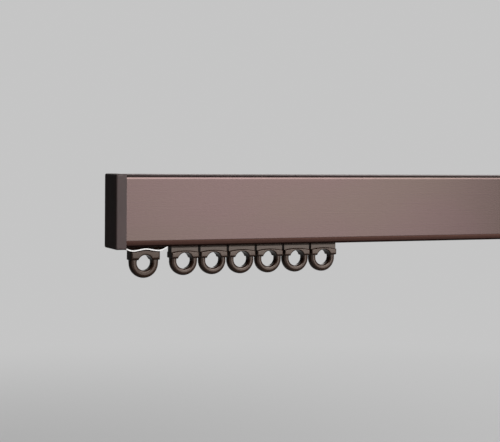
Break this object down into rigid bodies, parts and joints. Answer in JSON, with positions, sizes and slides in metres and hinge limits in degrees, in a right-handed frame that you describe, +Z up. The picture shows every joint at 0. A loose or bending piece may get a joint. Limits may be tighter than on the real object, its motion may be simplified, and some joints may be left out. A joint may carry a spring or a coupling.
{
  "type": "curtain track",
  "caption": "Rectangular curtain track with capped ends, fixed end stops with ring eyes, and rollered runners with ring eyes that slide along its lower slot.",
  "frame": {"origin": "middle of the rail's top face, at the mouth of the channel that its brackets grip", "axes": "+X along the rail to the right as seen from the room, +Y away from the room, +Z up"},
  "size_m": [0.32, 0.0174, 0.048],
  "materials": {
    "anodised_rail": "bronze anodised, satin",
    "cap_plastic": "matte, fine mould grain",
    "runner_plastic": "moulded, semi-gloss",
    "roller_plastic": "moulded acetal",
    "spring_steel": "bright spring strip",
    "axle_steel": "ground pin"
  },
  "bodies": {
    "track": {"rail": "anodised_rail", "end_cap_left": "cap_plastic", "end_cap_right": "cap_plastic", "stop_left": "runner_plastic", "stop_right": "runner_plastic", "stop_spring_left": "spring_steel", "stop_spring_right": "spring_steel"},
    "runner_1": {"runner_1_body": "runner_plastic"},
    "wheels_1": {"runner_1_axle": "axle_steel", "runner_1_roller_front": "roller_plastic", "runner_1_roller_rear": "roller_plastic"},
    "runner_2": {"runner_2_body": "runner_plastic"},
    "wheels_2": {"runner_2_axle": "axle_steel", "runner_2_roller_front": "roller_plastic", "runner_2_roller_rear": "roller_plastic"},
    "runner_3": {"runner_3_body": "runner_plastic"},
    "wheels_3": {"runner_3_axle": "axle_steel", "runner_3_roller_front": "roller_plastic", "runner_3_roller_rear": "roller_plastic"},
    "runner_4": {"runner_4_body": "runner_plastic"},
    "wheels_4": {"runner_4_axle": "axle_steel", "runner_4_roller_front": "roller_plastic", "runner_4_roller_rear": "roller_plastic"},
    "runner_5": {"runner_5_body": "runner_plastic"},
    "wheels_5": {"runner_5_axle": "axle_steel", "runner_5_roller_front": "roller_plastic", "runner_5_roller_rear": "roller_plastic"},
    "runner_6": {"runner_6_body": "runner_plastic"},
    "wheels_6": {"runner_6_axle": "axle_steel", "runner_6_roller_front": "roller_plastic", "runner_6_roller_rear": "roller_plastic"}
  },
  "joints": [
    {"name": "runner_1_slide", "type": "slide", "parent": "track", "child": "runner_1", "axis": [1, 0, 0], "range_m": [0, 0.029]},
    {"name": "runner_1_roll", "type": "hinge", "parent": "runner_1", "child": "wheels_1", "pos_m": [-0.1243, 0, -0.0265], "axis": [0, 1, 0], "continuous": true},
    {"name": "runner_2_slide", "type": "slide", "parent": "runner_1", "child": "runner_2", "axis": [1, 0, 0], "range_m": [0, 0.029]},
    {"name": "runner_2_roll", "type": "hinge", "parent": "runner_2", "child": "wheels_2", "pos_m": [-0.1098, 0, -0.0265], "axis": [0, 1, 0], "continuous": true},
    {"name": "runner_3_slide", "type": "slide", "parent": "runner_2", "child": "runner_3", "axis": [1, 0, 0], "range_m": [0, 0.029]},
    {"name": "runner_3_roll", "type": "hinge", "parent": "runner_3", "child": "wheels_3", "pos_m": [-0.0953, 0, -0.0265], "axis": [0, 1, 0], "continuous": true},
    {"name": "runner_4_slide", "type": "slide", "parent": "runner_3", "child": "runner_4", "axis": [1, 0, 0], "range_m": [0, 0.029]},
    {"name": "runner_4_roll", "type": "hinge", "parent": "runner_4", "child": "wheels_4", "pos_m": [-0.0808, 0, -0.0265], "axis": [0, 1, 0], "continuous": true},
    {"name": "runner_5_slide", "type": "slide", "parent": "runner_4", "child": "runner_5", "axis": [1, 0, 0], "range_m": [0, 0.029]},
    {"name": "runner_5_roll", "type": "hinge", "parent": "runner_5", "child": "wheels_5", "pos_m": [-0.0663, 0, -0.0265], "axis": [0, 1, 0], "continuous": true},
    {"name": "runner_6_slide", "type": "slide", "parent": "runner_5", "child": "runner_6", "axis": [1, 0, 0], "range_m": [0, 0.029]},
    {"name": "runner_6_roll", "type": "hinge", "parent": "runner_6", "child": "wheels_6", "pos_m": [-0.0518, 0, -0.0265], "axis": [0, 1, 0], "continuous": true}
  ]
}
